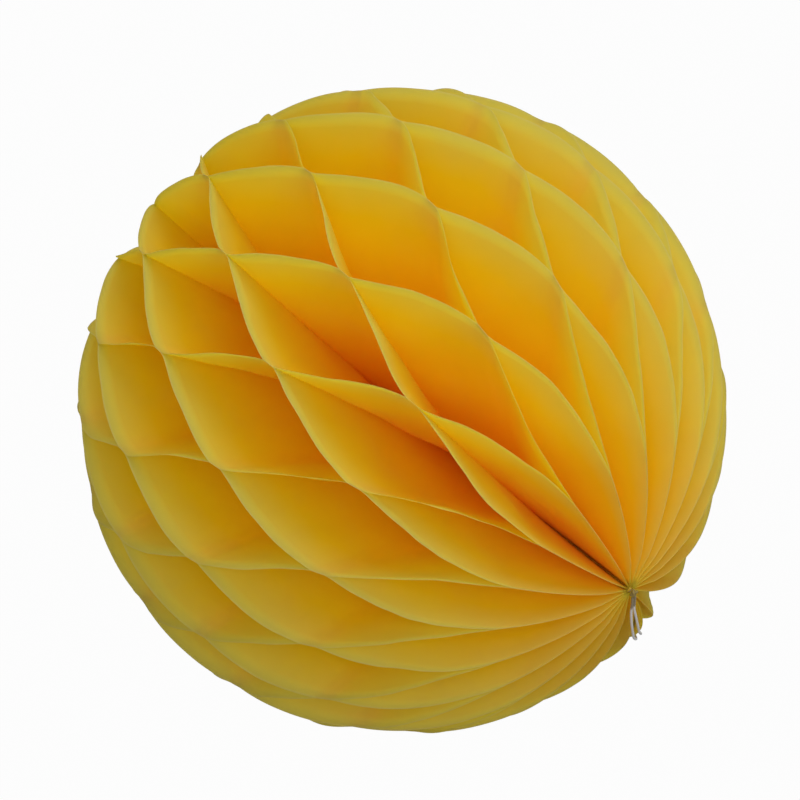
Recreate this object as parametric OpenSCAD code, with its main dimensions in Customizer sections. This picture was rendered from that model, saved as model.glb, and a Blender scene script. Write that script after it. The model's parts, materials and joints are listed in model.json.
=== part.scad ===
// Paper honeycomb ball.
// Half-disc tissue leaves are sewn along their straight edge, the spine, and fanned round it.
// Neighbouring leaves are glued on alternate rows across the spine, so each leaf waves between
// its two neighbours and the rim shows rows of diamond cells. The first and last leaf lie on two
// half-disc cards, which meet back to back at the seam and are held by adhesive pads.
// The spine stands along Z. The origin is the knot at its top, where the hanging string is tied.

/* [Ball] */
// Diameter of the open ball
ball_d = 200; // [120:1:300]
// Gap between the knot that carries the ball and its uppermost paper edge
crown_gap = 0.3; // [0.2:0.1:2]
// Distance from the start of the glue rows to the edge of the small open cap at each pole
cap_margin = 1.3; // [0.5:0.1:3]

/* [Tissue leaves] */
// Thickness of one tissue leaf
tissue_t = 0.05; // [0.03:0.01:0.06]
// Distance along the spine from one glue row to the next
row_pitch = 34.2; // [25:0.1:50]
// Distance from the top of the ball to the first glue row
first_row = 9.4; // [8:0.1:14]
// Width of a glue row
glue_w = 4; // [3:0.5:10]
// Least distance from the last glue row to the bottom of the ball
last_row_margin = 14; // [12:0.5:30]
// Distance from the spine's axis at which the glue rows start
glue_start = 10; // [8:0.5:16]
// Bend of a leaf where it leaves a glue row, from 1, a crease, to 2, a soft curve
ramp_bend = 1.1; // [1:0.1:2]
// Steps from one glue row to the next
ramp_steps = 2; // [1:1:4]

/* [Covers] */
// Thickness of a cover card
cover_t = 0.4; // [0.2:0.05:0.6]
// How far a cover's round edge lies inside the leaves' edge
cover_inset = 2; // [0.5:0.5:6]
// How far a cover's straight edge lies outside the start of the glue rows
cover_margin = 0; // [0:0.5:5]

/* [Seam tape] */
// Thickness of an adhesive pad
tape_t = 0.1; // [0.06:0.02:0.3]
// Width of a pad, from the rim inwards
tape_w = 8; // [5:1:15]
// Length of a pad along the rim
tape_l = 25; // [10:1:40]
// Distance from a pad's outer edge to the cover's round edge
tape_inset = 3; // [2:0.5:10]
// Angle between one pad and the next
tape_step = 50; // [30:5:60]

/* [Spine] */
// Diameter of the sewn thread core
spine_d = 1.8; // [1:0.1:2]
// Gap between the core and the leaves' inner edges
spine_gap = 0.3; // [0.2:0.05:0.5]
// Diameter of the knots
knot_d = 2.8; // [2.6:0.1:5]
// Distance from a knot's centre to the flat underside where it meets the core
knot_seat = 1; // [0.5:0.1:1.1]

/* [Hanging string] */
// Diameter of the string
string_d = 0.8; // [0.4:0.1:0.8]

/* [Hidden] */
leaf_count = 40;
tissue_colour = [0.80, 0.58, 0.11];
card_colour = [0.78, 0.56, 0.14];
thread_colour = [0.93, 0.92, 0.88];
tape_colour = [0.90, 0.88, 0.78];

ball_r = ball_d / 2;
pole_angle = asin((glue_start + cap_margin) / ball_r);
centre_z = -(ball_r * cos(pole_angle) + knot_seat + crown_gap);
spine_r = spine_d / 2;
leaf_inner_r = spine_r + spine_gap;
lower_knot_z = 2 * centre_z;

// The seam lies in the half plane x = 0, y > 0, and longitudes are counted from it
seam_longitude = 90;
cell_angle = 360 / (leaf_count - 2);
cover_face = tape_t / 2 + cover_t;
leaf_face = cover_face + tissue_t;
// The leaves' inner edges share the turn round the core, just clear of the seam
inner_edge_angle = 1.6;
inner_step = (360 - 2 * inner_edge_angle) / (leaf_count - 1);

row_count = floor((ball_d - first_row - last_row_margin) / row_pitch) + 1;
glue_half = glue_w / 2 / row_pitch;
crown_steps = 3;
foot_steps = 4;
cover_sides = 180;
core_sides = 32;
knot_sides = 40;

function leaf_name(i) = str("leaf_", i < 10 ? "0" : "", i);

// Height of glue row k above the ball's centre, k = 0 being the top row
function row_z(k) = ball_r - first_row - k * row_pitch;
function rim_r(z) = sqrt(ball_r * ball_r - z * z);

// Heights of the leaf's stations, from the top of the ball down
function arc_stations(from, to, steps) =
    [for (s = [1:steps]) ball_r * cos(from + (to - from) * s / steps)];
top_angle = acos((row_z(0) + glue_w / 2) / ball_r);
foot_angle = acos((row_z(row_count - 1) - glue_w / 2) / ball_r);
crown = arc_stations(top_angle, pole_angle, crown_steps);
stations = concat(
    [for (s = [crown_steps - 1:-1:0]) crown[s]],
    [for (k = [0:row_count - 1]) for (z = row_stations(k)) z],
    arc_stations(foot_angle, 180 - pole_angle, foot_steps));
function row_stations(k) = concat(
    [row_z(k) + glue_w / 2, row_z(k) - glue_w / 2],
    k == row_count - 1 ? [] :
        [for (s = [1:1:ramp_steps - 1]) row_z(k) - glue_w / 2 - (row_pitch - glue_w) * s / ramp_steps]);

// Side to which a leaf leans at height z: 1 at the glue rows of the gap after it, -1 at those before it.
// Over the first row the leaves stay together in pairs.
function lean(z, parity) =
    let (t = max(0, (row_z(0) - z) / row_pitch), m = round(t))
    let (x = max(0, abs(t - m) - glue_half) / (0.5 - glue_half))
    parity * (m % 2 == 0 ? 1 : -1) * (1 - pow(x, ramp_bend));

// Point at a distance r from the axis along a longitude, moved sideways by off
function at(longitude, r, off, z) =
    [r * cos(longitude) - off * sin(longitude), r * sin(longitude) + off * cos(longitude), z];

// Longitude and offset of the glue joint in gap g, between leaf g and leaf g + 1
function joint_longitude(g) = seam_longitude + cell_angle * (g - 1);
function joint_offset(g) = g == 1 ? leaf_face : g == leaf_count - 1 ? -leaf_face : 0;

// A leaf as [lower longitude, lower offset, upper longitude, upper offset], its faces' two places
function leaf_places(i) =
    i == 1 ? [seam_longitude, cover_face, seam_longitude, leaf_face] :
    i == leaf_count ? [seam_longitude + 360, -leaf_face, seam_longitude + 360, -cover_face] :
    [joint_longitude(i - 1), joint_offset(i - 1), joint_longitude(i), joint_offset(i)];

// The three points of one face of leaf i at height z: inner edge, start of the glue and rim
function leaf_row(i, z, side) =
    let (p = leaf_places(i), w = lean(z, i % 2 == 0 ? 1 : -1))
    let (longitude = (p[0] + p[2]) / 2 + w * (p[2] - p[0]) / 2)
    let (low = p[1] + tissue_t / 2, high = p[3] - tissue_t / 2)
    let (off = (low + high) / 2 + w * (high - low) / 2 + side * tissue_t / 2)
    [at(seam_longitude + inner_edge_angle + (i - 1) * inner_step, leaf_inner_r, side * tissue_t / 2, z),
     at(longitude, glue_start, off, z),
     at(longitude, rim_r(z), off, z)];

function quad(a, b, c, d) = [[a, b, c], [a, c, d]];

module leaf(i) {
    n = len(stations);
    columns = 3;
    points = [for (side = [-1, 1]) for (z = stations) for (p = leaf_row(i, z, side)) p];
    function low(j, c) = j * columns + c;
    function high(j, c) = (n + j) * columns + c;
    faces = concat(
        [for (j = [0:n - 2]) for (c = [0:columns - 2]) for (f = concat(
            quad(high(j, c), high(j + 1, c), high(j + 1, c + 1), high(j, c + 1)),
            quad(low(j + 1, c + 1), low(j + 1, c), low(j, c), low(j, c + 1)))) f],
        [for (j = [0:n - 2]) for (f = concat(
            quad(low(j, columns - 1), high(j, columns - 1), high(j + 1, columns - 1), low(j + 1, columns - 1)),
            quad(low(j, 0), low(j + 1, 0), high(j + 1, 0), high(j, 0)))) f],
        [for (c = [0:columns - 2]) for (f = concat(
            quad(high(0, c), high(0, c + 1), low(0, c + 1), low(0, c)),
            quad(low(n - 1, c), low(n - 1, c + 1), high(n - 1, c + 1), high(n - 1, c)))) f]);
    color(tissue_colour) translate([0, 0, centre_z]) polyhedron(points, faces);
}

// Half-disc card in the seam's plane, from x = from to x = from + cover_t
module cover(from) {
    color(card_colour) translate([from, 0, centre_z]) rotate([90, 0, 90]) linear_extrude(cover_t)
        intersection() {
            circle(r = ball_r - cover_inset, $fn = cover_sides);
            translate([glue_start + cover_margin, -ball_r]) square([ball_r, ball_d]);
        }
}

module fixed_cover() {
    cover(-cover_face);
}

module moving_cover() {
    cover(tape_t / 2);
}

module seam_tape() {
    color(tape_colour) for (a = [-tape_step, 0, tape_step])
        translate([0, 0, centre_z]) rotate([a, 0, 0])
            translate([-tape_t / 2, ball_r - cover_inset - tape_inset - tape_w, -tape_l / 2])
                cube([tape_t, tape_w, tape_l]);
}

module spine_thread() {
    color(thread_colour) translate([0, 0, lower_knot_z + knot_seat])
        cylinder(r = spine_r, h = -lower_knot_z - 2 * knot_seat, $fn = core_sides);
}

// Round knot whose flat side, away from the end of the spine, meets the core
module knot(end) {
    color(thread_colour) intersection() {
        sphere(d = knot_d, $fn = knot_sides);
        translate([-knot_d, -knot_d, end > 0 ? -knot_seat : -2 * knot_d + knot_seat])
            cube([2 * knot_d, 2 * knot_d, 2 * knot_d]);
    }
}

module upper_knot() {
    knot(1);
}

module lower_knot() {
    translate([0, 0, lower_knot_z]) knot(-1);
}

// Middle line of the string's loop, from the knot over the crown and down across the seam, each point
// with half the distance between the loop's two strands
string_line = [
    [0.5, 1.6, 0.1, 0.5], [1.5, 3.2, 0.5, 0.5], [2.7, 6, 0.5, 0.6], [3.5, 11, 0.1, 0.9], [3.8, 18, -1.1, 1.1],
    [3.2, 29.9, -4.4, 1.2], [0.8, 42.8, -9.5, 1.1], [-1.9, 55, -16.2, 0.9], [-4.2, 66, -24.5, 0.9],
    [-6.6, 75.8, -34.2, 0.9], [-8.7, 84.1, -45.4, 0.9], [-10.7, 90.8, -57.7, 0.9], [-12.5, 95.7, -70.8, 1],
    [-13.9, 98.4, -82.7, 1.2], [-14.9, 99.6, -93.2, 1.5], [-15.8, 99.7, -103.7, 2.2],
    [-16.3, 99.2, -110.7, 2.8], [-16.4, 98.8, -113.5, 2.1]];
string_turn = [-16.5, 98.7, -114.5];
function strand(side) = [for (p = string_line) [p[0] + side * p[3], p[1], p[2]]];
function reversed(points) = [for (k = [len(points) - 1:-1:0]) points[k]];
string_route = concat(strand(-1), [string_turn], reversed(strand(1)));
string_sides = 8;
string_steps = 2;
// Step along the route, in its points, over which the string's direction is taken
string_reach = 0.02;

function unit(v) = v / norm(v);

// Point of a smooth curve through the route, u counting its points from 0
function along(route, u) =
    let (k = min(floor(u), len(route) - 2), s = u - k)
    let (b = route[k], c = route[k + 1])
    let (a = k > 0 ? route[k - 1] : 2 * b - c, d = k < len(route) - 2 ? route[k + 2] : 2 * c - b)
    (2 * b + (c - a) * s + (2 * a - 5 * b + 4 * c - d) * s * s + (3 * b - a - 3 * c + d) * s * s * s) / 2;

// Tube swept along a route that lies over the ball, its rings set out from the ball's centre
module swept_string(route, d) {
    rings = (len(route) - 1) * string_steps;
    sides = string_sides;
    centre = [0, 0, centre_z];
    points = [for (j = [0:rings])
        let (u = j / string_steps, p = along(route, u))
        let (ahead = min(u + string_reach, len(route) - 1), behind = max(u - string_reach, 0))
        let (t = unit(along(route, ahead) - along(route, behind)))
        let (side = unit(cross(t, p - centre)), out = cross(side, t))
        for (k = [0:sides - 1]) p + d / 2 * (side * cos(360 * k / sides) + out * sin(360 * k / sides))];
    function ring(j, k) = j * sides + k % sides;
    faces = concat(
        [for (j = [0:rings - 1]) for (k = [0:sides - 1])
            for (f = quad(ring(j, k), ring(j, k + 1), ring(j + 1, k + 1), ring(j + 1, k))) f],
        [[for (k = [sides - 1:-1:0]) ring(0, k)], [for (k = [0:sides - 1]) ring(rings, k)]]);
    polyhedron(points, faces);
}

module hanging_string() {
    color(thread_colour) swept_string(string_route, string_d);
}

fixed_cover();
moving_cover();
seam_tape();
spine_thread();
upper_knot();
lower_knot();
hanging_string();
for (i = [1:leaf_count]) leaf(i);
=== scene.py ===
# %% [markdown]
# # A paper honeycomb ball
#
# The ball is a pack of half-disc tissue leaves, sewn along their straight edge and fanned round it.
# Neighbouring leaves are glued on alternate rows, so every leaf waves from one neighbour to the
# other, and the rim shows rows of diamond cells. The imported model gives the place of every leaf,
# card and thread. This script gives them their real surfaces, and never moves them.

# %% Load the frame
import json
import math

import bpy
import numpy as np
from mathutils import Matrix, Vector


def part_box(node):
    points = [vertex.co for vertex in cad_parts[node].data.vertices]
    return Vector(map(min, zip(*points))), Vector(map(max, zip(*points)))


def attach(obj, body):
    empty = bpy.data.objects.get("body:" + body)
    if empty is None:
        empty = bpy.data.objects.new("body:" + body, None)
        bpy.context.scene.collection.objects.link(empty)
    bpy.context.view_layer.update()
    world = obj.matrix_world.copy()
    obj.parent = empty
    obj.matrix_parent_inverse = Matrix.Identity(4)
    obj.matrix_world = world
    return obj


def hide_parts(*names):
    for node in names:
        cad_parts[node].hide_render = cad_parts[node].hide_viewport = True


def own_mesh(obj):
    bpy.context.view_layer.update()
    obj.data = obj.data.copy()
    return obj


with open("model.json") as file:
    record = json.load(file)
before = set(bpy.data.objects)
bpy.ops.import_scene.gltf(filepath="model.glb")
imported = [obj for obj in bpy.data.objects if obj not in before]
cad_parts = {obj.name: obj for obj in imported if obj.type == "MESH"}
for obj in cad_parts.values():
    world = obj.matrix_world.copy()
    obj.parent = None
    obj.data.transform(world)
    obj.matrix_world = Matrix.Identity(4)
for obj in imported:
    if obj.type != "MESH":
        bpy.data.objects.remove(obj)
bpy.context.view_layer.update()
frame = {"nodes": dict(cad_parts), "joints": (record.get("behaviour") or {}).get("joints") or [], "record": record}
MM = 0.001

# %% [markdown]
# ## The ball's own measures
#
# Everything hangs on the spine. Its centre and thickness, the face of the cards and the number of
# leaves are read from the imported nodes. The radius, the paper's thickness and the glue rows can't be
# read off a box, so they repeat the sizes that the part was made with. The rows cross the spine at
# equal steps.

# %% Read the measures
LEAVES = sorted(n for n in frame["nodes"] if n.startswith("leaf_"))
LEAF_COUNT = len(LEAVES)
spine_low, spine_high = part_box("spine_thread")
spine_r = (spine_high.x - spine_low.x) / 2
centre = Vector((0, 0, (spine_low.z + spine_high.z) / 2))
ball_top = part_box(LEAVES[0])[1].z - centre.z

TISSUE_T = 0.05 * MM
BALL_R = 100 * MM
ROW_PITCH = 34.2 * MM
FIRST_ROW = 9.4 * MM
GLUE_W = 4 * MM
GLUE_START = 10 * MM
CARD_FACE = abs(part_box("fixed_cover")[0].x)
LEAF_FACE = CARD_FACE + TISSUE_T
# 1 would swing a leaf over in a straight ramp, and a little more softens the bend at the glue
RAMP_BEND = 1.1
SEAM = math.radians(90)
CELL = math.radians(360 / (LEAF_COUNT - 2))
CORE_GAP = 0.3 * MM
INNER_R = spine_r + CORE_GAP
INNER_EDGE = math.radians(1.6)
print("centre", [round(v, 5) for v in centre], "top", round(ball_top, 5))
print("card face", round(CARD_FACE, 5), "leaves", LEAF_COUNT)

# %% [markdown]
# ## The camera
#
# The ball is seen from about 34 degrees above the level of its glue rows, on the side away from the
# seam, and the camera is rolled so that the knotted top of the spine shows low on the right. A long
# lens from six radii away keeps the near cells only a little larger than the far ones.
#
# Blender could point a camera with a constraint, but a matrix made from three directions says exactly
# which way is right, up and back, and the lamps further down use the same three.

# %% Camera
VIEW_AZIMUTH, VIEW_ELEVATION, VIEW_ROLL = (math.radians(a) for a in (11.9, 34.3, 128.2))
VIEW_DISTANCE = 6 * BALL_R
VIEW_LENS = 86.54
AIM_RIGHT, AIM_UP = -0.6 * MM, 3.0 * MM
SENSOR_WIDTH = 36
NEAREST_SEEN, FURTHEST_SEEN = 0.01, 30


def camera_axes(azimuth, elevation, roll):
    """The camera's right, up and backward directions."""
    back = Vector((
        math.sin(azimuth) * math.cos(elevation),
        -math.cos(azimuth) * math.cos(elevation),
        math.sin(elevation)))
    level_right = Vector((math.cos(azimuth), math.sin(azimuth), 0))
    level_up = back.cross(level_right)
    right = level_right * math.cos(roll) + level_up * math.sin(roll)
    return right, back.cross(right), back


view_right, view_up, view_back = camera_axes(VIEW_AZIMUTH, VIEW_ELEVATION, VIEW_ROLL)
camera = bpy.data.objects.new("camera", bpy.data.cameras.new("camera"))
bpy.context.scene.collection.objects.link(camera)
camera.data.lens = VIEW_LENS
camera.data.sensor_width = SENSOR_WIDTH
camera.data.clip_start = NEAREST_SEEN
camera.data.clip_end = FURTHEST_SEEN
camera.matrix_world = Matrix.Translation(
    centre + view_back * VIEW_DISTANCE + view_right * AIM_RIGHT + view_up * AIM_UP
) @ Matrix((view_right, view_up, view_back)).transposed().to_4x4()
bpy.context.scene.camera = camera
print("camera at", [round(v, 3) for v in camera.location])

# %% [markdown]
# ## The hanging string
#
# A loop of fine white thread is tied in the top knot. It lies over the crown and falls down beside the
# seam. The route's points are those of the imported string: one middle line, and how far apart the two
# strands run.
#
# A curve object with a round bevel could make the thread in one step. But real sewing thread is three
# plies twisted together, so the tube is made ring by ring here: its cross-section is three soft lobes
# that turn as it runs along.

# %% The string's route
STRING_D = 0.8 * MM
# Middle line of the loop in millimetres, each point with half the distance between its two strands
STRING_LINE = [
    (0.5, 1.6, 0.1, 0.5), (1.5, 3.2, 0.5, 0.5), (2.7, 6, 0.5, 0.6), (3.5, 11, 0.1, 0.9),
    (3.8, 18, -1.1, 1.1), (3.2, 29.9, -4.4, 1.2), (0.8, 42.8, -9.5, 1.1),
    (-1.9, 55, -16.2, 0.9), (-4.2, 66, -24.5, 0.9), (-6.6, 75.8, -34.2, 0.9),
    (-8.7, 84.1, -45.4, 0.9), (-10.7, 90.8, -57.7, 0.9), (-12.5, 95.7, -70.8, 1),
    (-13.9, 98.4, -82.7, 1.2), (-14.9, 99.6, -93.2, 1.5), (-15.8, 99.7, -103.7, 2.2),
    (-16.3, 99.2, -110.7, 2.8), (-16.4, 98.8, -113.5, 2.1)]
STRING_TURN = (-16.5, 98.7, -114.5)
STRING_STEP = 0.35


def strand(side):
    """The route of one of the two strands: -1 is one, 1 the other."""
    return [(x + side * half, y, z) for x, y, z, half in STRING_LINE]


def smooth_line(route, step):
    """Points of a smooth curve through a route, about one step apart."""
    route = np.array(route, float)
    padded = np.vstack([2 * route[0] - route[1], route, 2 * route[-1] - route[-2]])
    points = []
    for k in range(len(route) - 1):
        a, b, c, d = padded[k:k + 4]
        count = max(2, int(np.linalg.norm(c - b) / step))
        s = np.linspace(0, 1, count, endpoint=False)[:, None]
        points.append((2 * b + (c - a) * s + (2 * a - 5 * b + 4 * c - d) * s ** 2
                       + (3 * b - a - 3 * c + d) * s ** 3) / 2)
    return np.vstack(points + [route[-1:]])


string_line = smooth_line(strand(-1) + [STRING_TURN] + strand(1)[::-1], STRING_STEP) * MM
print("route points", len(string_line))

# %% A thread as a twisted tube
# Any direction that no thread starts in: the first ring's sideways direction is worked out from it
UNLIKE_ANY_THREAD = (0.3, 0.2, 0.93)


def twisted_tube(name, line, diameter, plies=3, turn=4.0, depth=0.12, sides=12):
    """A thread along a line: its lobes, one for each ply, turn once in so many diameters."""
    line = np.array(line, float)
    ahead = np.gradient(line, axis=0)
    ahead /= np.linalg.norm(ahead, axis=1)[:, None]
    run = np.concatenate([[0], np.cumsum(np.linalg.norm(np.diff(line, axis=0), axis=1))])
    side = np.cross(ahead[0], UNLIKE_ANY_THREAD)
    points, faces = [], []
    for k, (p, t) in enumerate(zip(line, ahead)):
        side = side - t * (side @ t)
        side /= np.linalg.norm(side)
        out = np.cross(t, side)
        angle = np.arange(sides) * math.tau / sides
        twist = math.tau * run[k] / (turn * diameter)
        r = diameter / 2 * (1 - depth + depth * np.cos(plies * (angle - twist)))
        points.append(p + (np.cos(angle) * r)[:, None] * side + (np.sin(angle) * r)[:, None] * out)
    rings = len(line)
    for k in range(rings - 1):
        for c in range(sides):
            a, b = k * sides + c, k * sides + (c + 1) % sides
            faces.append((a, b, b + sides, a + sides))
    faces.append(tuple(range(sides))[::-1])
    faces.append(tuple((rings - 1) * sides + c for c in range(sides)))
    mesh = bpy.data.meshes.new(name)
    mesh.from_pydata(np.vstack(points).tolist(), [], faces)
    mesh.shade_smooth()
    piece = bpy.data.objects.new(name, mesh)
    bpy.context.scene.collection.objects.link(piece)
    return piece


print("thread helper", twisted_tube.__name__)

# %% The string
string = twisted_tube("hanging_string_loop", string_line, STRING_D)
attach(string, "fixed_side")
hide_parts("hanging_string")
print("string", round(float(np.linalg.norm(np.diff(string_line, axis=0), axis=1).sum()), 4), "m")

# %% [markdown]
# ## Numbers on sockets, written as sums
#
# A shader is a graph of nodes, but most of it is arithmetic. `Value` wraps one socket, so that
# `1 - mask * 0.4` builds its own Math nodes. `Finish` holds a material while it is built, and its
# `node` method makes any other node from a type, its settings and what goes into its sockets.


# %% Shader helpers
class Value:
    """A socket that does arithmetic by adding Math nodes."""

    def __init__(self, finish, socket):
        self.finish, self.socket = finish, socket

    def math(self, operation, *others):
        inputs = dict(enumerate([self, *others]))
        return self.finish.node("ShaderNodeMath", {"operation": operation}, inputs)

    def __add__(self, other):
        return self.math("ADD", other)

    __radd__ = __add__

    def __mul__(self, other):
        return self.math("MULTIPLY", other)

    __rmul__ = __mul__

    def __sub__(self, other):
        return self.math("SUBTRACT", other)

    def __rsub__(self, other):
        return (self * -1) + other

    def __truediv__(self, other):
        return self.math("DIVIDE", other)

    def clamp(self):
        return self.math("MINIMUM", 1).math("MAXIMUM", 0)


class Finish:
    """A material under construction."""

    def __init__(self, name):
        self.material = bpy.data.materials.new(name)
        self.material.use_nodes = True
        self.tree = self.material.node_tree
        self.tree.nodes.clear()

    def node(self, kind, settings=None, inputs=None, output=0):
        """Add a node: its settings come first, then its sockets, and it gives back one output."""
        made = self.tree.nodes.new(kind)
        for key, value in (settings or {}).items():
            setattr(made, key, value)
        for key, value in (inputs or {}).items():
            if isinstance(value, Value):
                self.tree.links.new(value.socket, made.inputs[key])
            else:
                made.inputs[key].default_value = value
        return Value(self, made.outputs[output]) if made.outputs else made

    def mix_colour(self, factor, first, second):
        # A Mix node keeps a set of sockets for each type of data: 6, 7 and 2 are the colours
        return self.node(
            "ShaderNodeMix", {"data_type": "RGBA", "clamp_factor": True},
            {"Factor": factor, 6: first, 7: second}, 2)

    def noise(self, place, scale, detail=3, roughness=0.55):
        return self.node(
            "ShaderNodeTexNoise", None,
            {"Vector": place, "Scale": scale, "Detail": detail, "Roughness": roughness})

    def place(self, stretch=(1, 1, 1)):
        """A point's place in metres. Squeezing one axis turns round noise into fibres across it."""
        here = self.node("ShaderNodeTexCoord", None, None, 3)
        return self.node("ShaderNodeMapping", None, {"Vector": here, "Scale": stretch})

    def attribute(self, name):
        """A number that the mesh carries at each point."""
        return self.node("ShaderNodeAttribute", {"attribute_name": name}, None, 2)

    def surface(self, shader):
        self.node("ShaderNodeOutputMaterial", None, {"Surface": shader})
        return self.material


print("helpers", Value.__name__, Finish.__name__)

# %% [markdown]
# ## Tissue paper
#
# Dyed tissue is matte, and light goes through it: a leaf lit from behind glows, and light that has
# passed several leaves turns from yellow to deep orange. Subsurface scattering is meant for thick
# things and would be lost in a sheet this thin, so the paper is a diffuse surface mixed with a
# translucent one. The orange is hardly painted at all: dye that takes nearly all of the blue, a little
# of the green and almost none of the red at each leaf gives it by itself. Only a slightly deeper
# orange is painted on deep in the cells, as painted shade. The fibres make faint cloudy patches. The
# cut edge has a thin painted highlight, and the outer band of each leaf is painted paler, as painted
# sheen.

# %% Tissue finish
TISSUE_FRESH = (1.0, 0.88, 0.02, 1)
# Paler tone: painted sheen on the outer band of each leaf, and also the random cloudy patches
TISSUE_SHEEN_AND_CLOUDS = (0.97, 0.92, 0.34, 1)
# Painted shade: a slightly deeper orange for the leaves far in from the rim
TISSUE_DEEP_SHADE = (1.0, 0.86, 0.003, 1)
# Painted highlight for the cut edge of each leaf
TISSUE_EDGE_HIGHLIGHT = (0.98, 0.93, 0.42, 1)
TISSUE_GLOW = (1.0, 0.905, 0.01, 1)
EDGE_HIGHLIGHT_WIDTH = 0.7 * MM
RIM_SHEEN_DEPTH = 16 * MM
DEEP_FROM, DEEP_TO = 20 * MM, 70 * MM
EDGE_HIGHLIGHT_PALE, RIM_SHEEN_PALE, CLOUD_PALE = 0.8, 0.7, 0.5
CLOUD_SCALE, FIBRE_SCALE = 60, 900
FIBRE_STRETCH = (1, 1, 3)
FIBRE_HEIGHT = 0.02 * MM
LIGHT_THROUGH, CLOUDY_THROUGH = 0.60, 0.1
PAPER_ROUGH, FIBRES_ROUGH = 0.75, 0.1


def tissue_finish():
    f = Finish("dyed_tissue")
    clouds = f.noise(f.place(), CLOUD_SCALE, detail=4)
    fibres = f.noise(f.place(FIBRE_STRETCH), FIBRE_SCALE, detail=5, roughness=0.7)
    depth = f.attribute("from_rim")
    # Painted sheen: a paler band along the rim, for the light that the rim catches
    rim_sheen = (1 - depth / RIM_SHEEN_DEPTH).clamp()
    # Painted shade: the orange is painted deeper further in from the rim, inside the cells
    deep = ((depth - DEEP_FROM) / (DEEP_TO - DEEP_FROM)).clamp()
    # Painted highlight: a thin paler line along the cut edge, where the edge is lit
    edge = (1 - depth / EDGE_HIGHLIGHT_WIDTH).clamp()
    tone = f.mix_colour(deep, TISSUE_FRESH, TISSUE_DEEP_SHADE)
    pale = (rim_sheen * RIM_SHEEN_PALE + (clouds - 0.5) * CLOUD_PALE).clamp()
    tone = f.mix_colour(pale, tone, TISSUE_SHEEN_AND_CLOUDS)
    tone = f.mix_colour(edge * EDGE_HIGHLIGHT_PALE, tone, TISSUE_EDGE_HIGHLIGHT)
    bump = f.node("ShaderNodeBump", None, {
        "Height": fibres, "Distance": FIBRE_HEIGHT, "Strength": 0.5})
    paper = f.node("ShaderNodeBsdfPrincipled", None, {
        "Base Color": tone, "Roughness": fibres * FIBRES_ROUGH + PAPER_ROUGH, "Normal": bump,
        "Specular IOR Level": 0.2, "Sheen Weight": 0.05, "Sheen Roughness": 0.5})
    glow = f.node("ShaderNodeBsdfTranslucent", None, {"Color": TISSUE_GLOW, "Normal": bump})
    through = clouds * CLOUDY_THROUGH + LIGHT_THROUGH
    both = f.node("ShaderNodeMixShader", None, {0: through, 1: paper, 2: glow})
    return f.surface(both)


tissue = tissue_finish()
print("tissue nodes", len(tissue.node_tree.nodes))

# %% [markdown]
# ## One leaf
#
# A leaf is a ruled surface: at each height it is a straight line from the spine to the rim, and the
# line's angle swings from one neighbour to the other and back. It rests flat on the neighbour across
# the width of a glue row and swings over in between. A cloth simulation could open a flat pack, but
# 40 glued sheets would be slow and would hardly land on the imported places, and the swing has a plain
# rule, so it is written down. First come the glue rows and the two neighbours that each one joins.

# %% Glue rows and joints
GLUE_ROWS = 8
HAND_SEED = 7
HAND_ERROR = math.radians(0.3)
# Hand assembly leaves each joint a little off its place, by the same angle for both of its leaves
hand_made = np.random.default_rng(HAND_SEED).normal(0, HAND_ERROR, (LEAF_COUNT + 1, GLUE_ROWS))


def row_phase(z):
    """The nearest glue row, and how far the height is from it: 0 on the glue, 1 midway to the next."""
    # Over the first row the leaves stay together in pairs, and they part at its middle
    t = np.maximum(0, (BALL_R - FIRST_ROW - z) / ROW_PITCH)
    row = np.round(t).astype(int)
    glue = np.where(row == 0, 0, GLUE_W / 2) / ROW_PITCH
    return row, np.maximum(0, np.abs(t - row) - glue) / (0.5 - glue)


def joint(g, row=0):
    """Longitude and sideways offset of the glue between leaf g and leaf g + 1, on a glue row."""
    offset = {1: LEAF_FACE, LEAF_COUNT - 1: -LEAF_FACE}.get(g, 0)
    stray = 0 if offset else hand_made[g][row]
    return SEAM + CELL * (g - 1) + stray, offset


def leaf_sides(i, row=0):
    """Where the leaf's face before it and its face after it lie when it is glued there."""
    if i == 1:
        return (SEAM, CARD_FACE), (SEAM, LEAF_FACE)
    if i == LEAF_COUNT:
        return (SEAM + math.tau, -LEAF_FACE), (SEAM + math.tau, -CARD_FACE)
    return joint(i - 1, row), joint(i, row)


def leaf_turn(i):
    """The leaf's mean longitude."""
    if i in (1, LEAF_COUNT):
        return leaf_sides(i)[0][0]
    return SEAM + CELL * (i - 1.5)


print("cell angle", round(math.degrees(CELL), 3), "degrees, glue rows", GLUE_ROWS)

# %% [markdown]
# ## The waves in a leaf
#
# Tissue that has been folded and opened never lies quite flat. A few seeded sine waves of different
# lengths give each leaf its own soft unevenness. It fades out on the glue, where two leaves have to
# lie face to face. A Displace modifier would move the two faces of a leaf apart, and this keeps them
# together.

# %% Soft waves
CRUMPLE_SEED = 100
# Each kind of wave: its length and its height in millimetres
CRUMPLE = ((46, 0.35), (27, 0.22), (15, 0.10), (8, 0.045))
WAVES_EACH = 3


def crumple(i, r, z):
    """Soft unevenness of a leaf between its glue rows."""
    waves = np.random.default_rng(CRUMPLE_SEED + i)
    height = np.zeros_like(z + r)
    for length, size in CRUMPLE:
        for _ in range(WAVES_EACH):
            heading, phase = waves.uniform(0, math.tau, 2)
            height += size * MM * np.sin(
                math.tau / (length * MM) * (r * math.cos(heading) + z * math.sin(heading)) + phase)
    return height


print("waves in a leaf", len(CRUMPLE) * WAVES_EACH)

# %% [markdown]
# ## The skin and the sheet
#
# The leaf is built as two skins a tissue's thickness apart, joined round the edge, so it is a closed
# sheet of real thickness. A Solidify modifier would thicken one skin, but it doesn't know that the
# glued faces have to end flush on the neighbour. Each point also keeps its distance from the rim, for
# the painted sheen of the outer band, the painted highlight on the cut edge and the painted shade
# further in.

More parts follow.
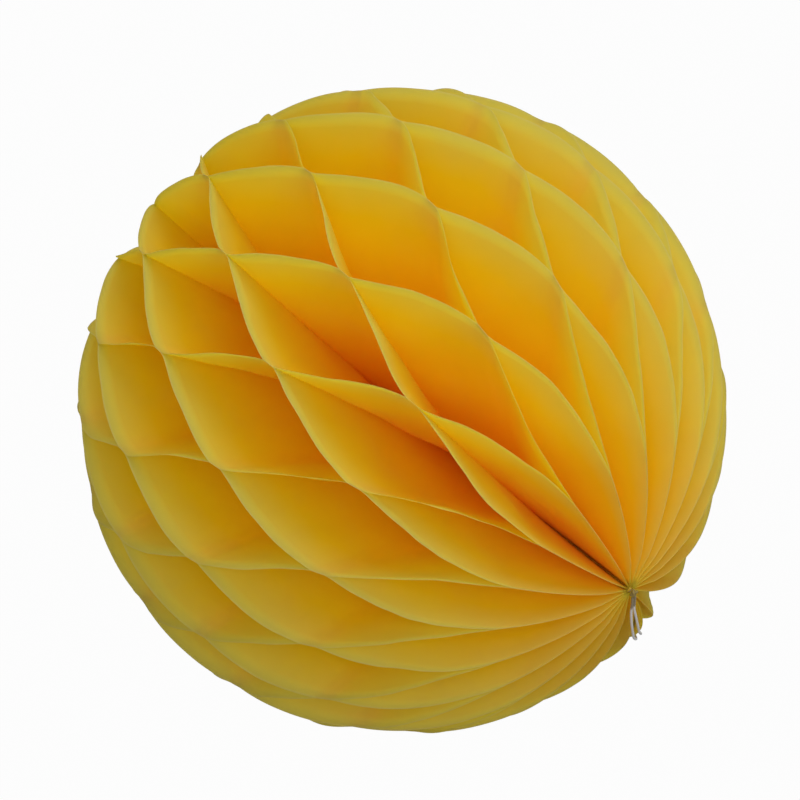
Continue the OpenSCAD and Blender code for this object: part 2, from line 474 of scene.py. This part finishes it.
# %% One skin of a leaf
STATIONS = 150
COLUMNS = 18
INNER_COLUMNS = 3
# The rim is drawn in by this much where it is glued
PINCH = 0.8 * MM
PINCH_SHARPNESS = 3
# Added to RAMP_BEND at the core, so that the bends get softer on the way in from the rim
SOFT_BEND = 0.6
# The soft waves grow from the glue by this power, and from the core over the first quarter of the way
LOOSENING = 0.7
WAVES_FROM = 4


def leaf_skin(i, side):
    """Points of one face of leaf i, as stations by columns, and each point's distance from the rim."""
    top = math.asin(min(1, ball_top / BALL_R))
    angle = np.linspace(top, -top, STATIONS)
    z = BALL_R * np.sin(angle)
    row, x = row_phase(z)
    after = (row + i) % 2 == 0
    glued_turn, glued_off = np.array([
        leaf_sides(i, k)[1 if side_after else 0] for k, side_after in zip(row, after)]).T
    glued_off = glued_off + np.where(after, -1, 1) * TISSUE_T / 2
    middle_off = (leaf_sides(i)[0][1] + leaf_sides(i)[1][1]) / 2
    rim = (BALL_R - PINCH * (1 - x ** RAMP_BEND) ** PINCH_SHARPNESS) * np.cos(angle)
    inner = SEAM + INNER_EDGE + (i - 1) * (math.tau - 2 * INNER_EDGE) / (LEAF_COUNT - 1)

    def swing(share):
        """Longitude and sideways offset at a share of the way out: the bends are softer further in."""
        lean = 1 - x ** (RAMP_BEND + SOFT_BEND * (1 - share))
        return (leaf_turn(i) + lean * (glued_turn - leaf_turn(i)),
                middle_off + lean * (glued_off - middle_off) + side * TISSUE_T / 2)

    def at(turn, r, off):
        return np.stack([
            r * np.cos(turn) - off * np.sin(turn),
            r * np.sin(turn) + off * np.cos(turn),
            z + 0 * r], axis=-1)

    start = at(np.full_like(z, inner), np.full_like(z, INNER_R), np.full_like(z, side * TISSUE_T / 2))
    turn, off = swing(0)
    glued = at(turn, np.full_like(z, GLUE_START), off)
    shares = np.linspace(0, 1, INNER_COLUMNS, endpoint=False)
    points = [start + (glued - start) * s for s in shares]
    from_rim = [rim - INNER_R - (GLUE_START - INNER_R) * s for s in shares]
    loose = 0 if i in (1, LEAF_COUNT) else np.minimum(1, x) ** LOOSENING
    for s in np.linspace(0, 1, COLUMNS):
        r = GLUE_START + (rim - GLUE_START) * s
        turn, off = swing(s)
        points.append(at(turn, r, off + crumple(i, r, z) * loose * min(1, s * WAVES_FROM)))
        from_rim.append(rim - r)
    return np.stack(points, axis=1), np.stack(from_rim, axis=1)


print("points in a skin", leaf_skin(2, 1)[1].shape)


# %% A closed leaf
def leaf_mesh(i):
    """Two skins with a strip of faces round their shared edge."""
    skins = [leaf_skin(i, side) for side in (-1, 1)]
    rows, columns = skins[0][1].shape
    points = np.concatenate([s[0].reshape(-1, 3) for s in skins])
    rim_gap = np.concatenate([s[1].ravel() for s in skins])
    high = rows * columns
    faces = []
    for j in range(rows - 1):
        for c in range(columns - 1):
            a = j * columns + c
            b = a + columns
            faces.append((a, a + 1, b + 1, b))
            faces.append((high + a, high + b, high + b + 1, high + a + 1))
        for a, turned in ((j * columns, False), (j * columns + columns - 1, True)):
            strip = (a, a + columns, high + a + columns, high + a)
            faces.append(strip[::-1] if turned else strip)
    for c in range(columns - 1):
        for a, turned in ((c, False), ((rows - 1) * columns + c, True)):
            strip = (a, high + a, high + a + 1, a + 1)
            faces.append(strip[::-1] if turned else strip)
    mesh = bpy.data.meshes.new(f"tissue_{i:02d}")
    mesh.from_pydata((points + np.array(centre)).tolist(), [], faces)
    distance = mesh.attributes.new("from_rim", "FLOAT", "POINT")
    distance.data.foreach_set("value", rim_gap.astype(np.float32))
    mesh.shade_smooth()
    return mesh


print("leaf helper", leaf_mesh.__name__)

# %% [markdown]
# ## All the leaves
#
# On the real ball every leaf turns on the sewn core as the pack opens, and flattens as it closes. So
# each leaf rides on its own imported body. Only the first and the last leaf have no turn of their
# own: they are glued to the cards.


# %% Add the leaves
def add_leaf(i):
    node = LEAVES[i - 1]
    piece = bpy.data.objects.new(f"tissue_{i:02d}", leaf_mesh(i))
    bpy.context.scene.collection.objects.link(piece)
    piece.data.materials.append(tissue)
    body = next(b for b, nodes in frame["record"]["behaviour"]["bodies"].items() if node in nodes)
    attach(piece, body)
    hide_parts(node)
    hinge = [j["name"] for j in frame["joints"] if j["child"] == body and body == node]
    if hinge:
        turn = leaf_turn(i)
        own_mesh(piece)
    return piece


leaves = [add_leaf(i) for i in range(1, LEAF_COUNT + 1)]
print("leaves", len(leaves), "faces each", len(leaves[0].data.polygons))

# %% [markdown]
# ## Threads
#
# Three threads, one way to make them: fibres in two tones, a fine bump and a soft sheen. The core has
# taken the yellow of the leaves, the knots are brown with glue, and the hanging string is white. Its
# first few millimetres from the knot are painted dark, as painted shade where it comes out from
# under the paper.

# %% Thread finishes
THREAD = (0.42, 0.31, 0.07, 1)
# The knots' darker fibre tone, and also the colour of the string's painted shade
THREAD_DARK_AND_STRING_SHADE = (0.22, 0.15, 0.02, 1)
CORE = (0.90, 0.60, 0.03, 1)
CORE_DARK = (0.75, 0.42, 0.01, 1)
STRING_WHITE = (0.97, 0.97, 0.95, 1)
STRING_GREY = (0.85, 0.84, 0.82, 1)
# How far from the top knot the string is painted dark, as painted shade
STRING_SHADE_LENGTH = 5.5 * MM
THREAD_FIBRES, THREAD_WEAR = 2600, 220
THREAD_NAP = 0.04 * MM
# How dark the string's painted shade is, and the share of its length over which it fades out
STRING_SHADE_DEPTH, STRING_SHADE_FADE = 0.85, 0.2
FIBRES_TONE, WEAR_TONE = 0.7, 0.3
THREAD_ROUGH, WORN_ROUGH = 0.45, 0.2


def thread_finish(name, light, dark, sheen, shade_length=0):
    """Thread of two tones, with painted shade for the given length from the top knot."""
    f = Finish(name)
    fibres = f.noise(f.place(), THREAD_FIBRES, roughness=0.6)
    worn = f.noise(f.place(), THREAD_WEAR, detail=2)
    tone = f.mix_colour(fibres * FIBRES_TONE + worn * WEAR_TONE, dark, light)
    # Painted shade: the thread is darkened near the top knot, where it comes out from under the paper
    if shade_length:
        height = f.node("ShaderNodeSeparateXYZ", None, {"Vector": f.place()}, 1)
        painted_shade = ((shade_length - height) / (STRING_SHADE_FADE * shade_length)).clamp()
        tone = f.mix_colour(painted_shade * STRING_SHADE_DEPTH, tone, THREAD_DARK_AND_STRING_SHADE)
    bump = f.node("ShaderNodeBump", None, {
        "Height": fibres, "Distance": THREAD_NAP, "Strength": 0.6})
    return f.surface(f.node("ShaderNodeBsdfPrincipled", None, {
        "Base Color": tone, "Roughness": worn * WORN_ROUGH + THREAD_ROUGH, "Normal": bump,
        "Sheen Weight": sheen, "Sheen Roughness": 0.4}))


core_cotton = thread_finish("dyed_core_cotton", CORE, CORE_DARK, 0.2)
cotton = thread_finish("knot_cotton", THREAD, THREAD_DARK_AND_STRING_SHADE, 0.2)
polyester = thread_finish("string_polyester", STRING_WHITE, STRING_GREY, 0.3, STRING_SHADE_LENGTH)
string.data.materials.append(polyester)
print("threads", core_cotton.name, cotton.name, polyester.name)

# %% [markdown]
# ## Spine and knots
#
# The spine is a sewn core of twisted cotton, and each end is locked with a knot. A ball of thread
# would do from far away, but these are real overhand knots: a trefoil curve pulled tight round itself
# and thickened into the same kind of twisted thread.

# %% Spine and knots
KNOT_THREAD = 0.85 * MM
KNOT_POINTS = 90
KNOT_THICKNESS = 1.1
SPINE_STEP = 0.5 * MM


def knot_line(middle, radius, flip):
    """A trefoil whose outer loops reach the given radius."""
    t = np.linspace(0, math.tau, KNOT_POINTS)
    size = radius / 3
    across = size * (np.sin(t) + 2 * np.sin(2 * t))
    along = size * (np.cos(t) - 2 * np.cos(2 * t))
    height = -flip * size * KNOT_THICKNESS * np.sin(3 * t)
    return np.stack([across, along, height], axis=1) + np.array(middle)


def add_knot(node, flip):
    low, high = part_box(node)
    middle = (low + high) / 2
    radius = (high.x - low.x) / 2 - KNOT_THREAD / 2
    piece = twisted_tube(
        f"{node}_tied", knot_line(middle, radius, flip), KNOT_THREAD, turn=3.0, depth=0.1, sides=14)
    piece.data.materials.append(cotton)
    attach(piece, "fixed_side")
    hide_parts(node)
    return piece


def add_spine():
    height = np.arange(spine_low.z, spine_high.z, SPINE_STEP)
    line = np.stack([0 * height, 0 * height, height], axis=1)
    piece = twisted_tube("spine_core", line, 2 * spine_r, plies=4, depth=0.14, sides=20)
    piece.data.materials.append(core_cotton)
    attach(piece, "fixed_side")
    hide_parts("spine_thread")
    return piece


for name, flip in (("upper_knot", 1), ("lower_knot", -1)):
    print(add_knot(name, flip).name)
print(add_spine().name)

# %% [markdown]
# ## Cards and tape
#
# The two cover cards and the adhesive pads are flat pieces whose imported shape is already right, so
# they stay and only get a finish: matte dyed card with a fibrous grain, and a slightly glossy film
# with fine streaks.

# %% Card and tape finishes
CARD = (0.72, 0.44, 0.08, 1)
CARD_LIGHT = (0.80, 0.54, 0.16, 1)
TAPE = (0.86, 0.84, 0.72, 1)
TAPE_AGED = (0.80, 0.74, 0.52, 1)
CARD_GRAIN, CARD_PATCHES, TAPE_STREAKS = 500, 35, 300
CARD_STRETCH, TAPE_STRETCH = (1, 1, 5), (1, 1, 6)
CARD_RELIEF, TAPE_RELIEF = 0.05 * MM, 0.02 * MM
GRAIN_TONE, PATCH_TONE = 0.6, 0.6
CARD_ROUGH, GRAIN_ROUGH = 0.72, 0.12
TAPE_ROUGH, STREAK_ROUGH = 0.22, 0.15


def card_finish():
    f = Finish("cover_card")
    grain = f.noise(f.place(CARD_STRETCH), CARD_GRAIN, detail=4, roughness=0.65)
    patch = f.noise(f.place(), CARD_PATCHES)
    tone = f.mix_colour((grain * GRAIN_TONE + patch * PATCH_TONE).clamp(), CARD, CARD_LIGHT)
    bump = f.node("ShaderNodeBump", None, {
        "Height": grain, "Distance": CARD_RELIEF, "Strength": 0.5})
    return f.surface(f.node("ShaderNodeBsdfPrincipled", None, {
        "Base Color": tone, "Roughness": grain * GRAIN_ROUGH + CARD_ROUGH, "Normal": bump,
        "Specular IOR Level": 0.3}))


def tape_finish():
    f = Finish("adhesive_film")
    streaks = f.noise(f.place(TAPE_STRETCH), TAPE_STREAKS)
    tone = f.mix_colour(streaks, TAPE, TAPE_AGED)
    bump = f.node("ShaderNodeBump", None, {
        "Height": streaks, "Distance": TAPE_RELIEF, "Strength": 0.4})
    return f.surface(f.node("ShaderNodeBsdfPrincipled", None, {
        "Base Color": tone, "Roughness": streaks * STREAK_ROUGH + TAPE_ROUGH, "Normal": bump}))


def dress(node, material):
    mesh = frame["nodes"][node].data
    mesh.materials.clear()
    mesh.materials.append(material)


card = card_finish()
for node in ("fixed_cover", "moving_cover"):
    dress(node, card)
dress("seam_tape", tape_finish())
print("cards and tape dressed")

# %% [markdown]
# ## Floor
#
# The ball hangs high above a pale floor, so far up that a view from below still has the floor behind
# the camera. To the eye the floor is almost pure white, by emission that only the camera sees. To
# everything else it is plain matte grey, so its whiteness throws no light on the ball.

# %% Floor
FLOOR_DROP = 2.2
FLOOR_HALF = 12
FLOOR_GREY = (0.8, 0.8, 0.8, 1)
FLOOR_WHITENESS = 0.97
WHITE = (1, 1, 1, 1)


def floor():
    f = Finish("pale_floor")
    seen = f.node("ShaderNodeLightPath", None, None, 0)
    matte = f.node("ShaderNodeBsdfDiffuse", None, {"Color": FLOOR_GREY})
    white = f.node("ShaderNodeEmission", None, {"Color": WHITE, "Strength": 1.0})
    shader = f.node("ShaderNodeMixShader", None, {0: seen * FLOOR_WHITENESS, 1: matte, 2: white})
    material = f.surface(shader)
    mesh = bpy.data.meshes.new("floor")
    half, z = FLOOR_HALF, centre.z - FLOOR_DROP
    corners = [(-half, -half, z), (half, -half, z), (half, half, z), (-half, half, z)]
    mesh.from_pydata(corners, [], [(0, 1, 2, 3)])
    obj = bpy.data.objects.new("floor", mesh)
    bpy.context.scene.collection.objects.link(obj)
    mesh.materials.append(material)


floor()
print("floor", FLOOR_DROP, "m below the ball's middle")

# %% [markdown]
# ## Sky
#
# The sky is white to the eye too. What it gives to the ball is dimmer, and dimmer on one side than on
# the other, along one fixed direction: that of the picture's upright. This gentle slope shades the
# whole ball without any lamp's hard edge.

# %% Sky
SKY_LEVEL, SKY_SLOPE = 0.39, 0.18


def sky():
    """White to the eye. What lights the ball is dimmer, most of all from the view's lower side."""
    world = bpy.data.worlds.new("sky")
    bpy.context.scene.world = world
    world.use_nodes = True
    tree = world.node_tree
    tree.nodes.clear()

    def add(kind, **settings):
        made = tree.nodes.new(kind)
        for key, value in settings.items():
            setattr(made, key, value)
        return made

    path, where, mix, out = (
        add(f"ShaderNode{kind}") for kind in ("LightPath", "TexCoord", "MixShader", "OutputWorld"))
    dim, white = add("ShaderNodeBackground"), add("ShaderNodeBackground")
    height = add("ShaderNodeVectorMath", operation="DOT_PRODUCT")
    level = add("ShaderNodeMath", operation="MULTIPLY_ADD")
    height.inputs[1].default_value = view_up
    level.inputs[1].default_value, level.inputs[2].default_value = SKY_SLOPE, SKY_LEVEL
    tree.links.new(where.outputs["Generated"], height.inputs[0])
    tree.links.new(height.outputs["Value"], level.inputs[0])
    tree.links.new(level.outputs[0], dim.inputs["Strength"])
    tree.links.new(path.outputs["Is Camera Ray"], mix.inputs[0])
    tree.links.new(dim.outputs[0], mix.inputs[1])
    tree.links.new(white.outputs[0], mix.inputs[2])
    tree.links.new(mix.outputs[0], out.inputs["Surface"])
    for background in (dim, white):
        background.inputs["Color"].default_value = WHITE


sky()
print("sky from", round(SKY_LEVEL - SKY_SLOPE, 2), "to", round(SKY_LEVEL + SKY_SLOPE, 2))

# %% [markdown]
# ## Lamps
#
# Three large soft lamps stand round the ball: the key above in the view, a fill where the camera is,
# and a weak one at the right that reaches the cells on that side. Each is an area lamp four or five
# times as wide as the ball, so no shadow has a hard edge. They stand outside the picture.
#
# Light may go through many leaves before it comes out, so it is followed much further than opaque
# things need. With Blender's usual limit the deep cells would go brown.

# %% Lamps
# Name, direction from the ball, distance and width in metres, and watts
LAMPS = (
    ("key", view_up * 0.85 + view_back * 0.5 + view_right * 0.1, 1.2, 1.0, 5.0),
    ("fill", view_back, 1.5, 0.8, 4.0),
    ("side", view_right * 0.85 + view_back * 0.5 - view_up * 0.2, 1.5, 0.8, 1.5),
)
LEAF_BOUNCES = 40
MOST_BOUNCES = 64


def lamp(name, direction, distance, size, watts):
    data = bpy.data.lights.new(name, "AREA")
    data.size, data.energy = size, watts
    obj = bpy.data.objects.new(name, data)
    bpy.context.scene.collection.objects.link(obj)
    obj.location = centre + direction.normalized() * distance
    obj.rotation_mode = "QUATERNION"
    obj.rotation_quaternion = direction.to_track_quat("Z", "Y")


for lamp_facts in LAMPS:
    lamp(*lamp_facts)
cycles = bpy.context.scene.cycles
cycles.diffuse_bounces = cycles.transmission_bounces = LEAF_BOUNCES
cycles.max_bounces = MOST_BOUNCES
print("lamps", [facts[0] for facts in LAMPS], "bounces", MOST_BOUNCES)

# %% [markdown]
# ## Colour management
#
# The Standard view shows a colour about as it is written, where Blender's own default view would
# soften the strong yellow.

# %% Colour management
bpy.context.scene.view_settings.view_transform = "Standard"
print("view", bpy.context.scene.view_settings.view_transform)
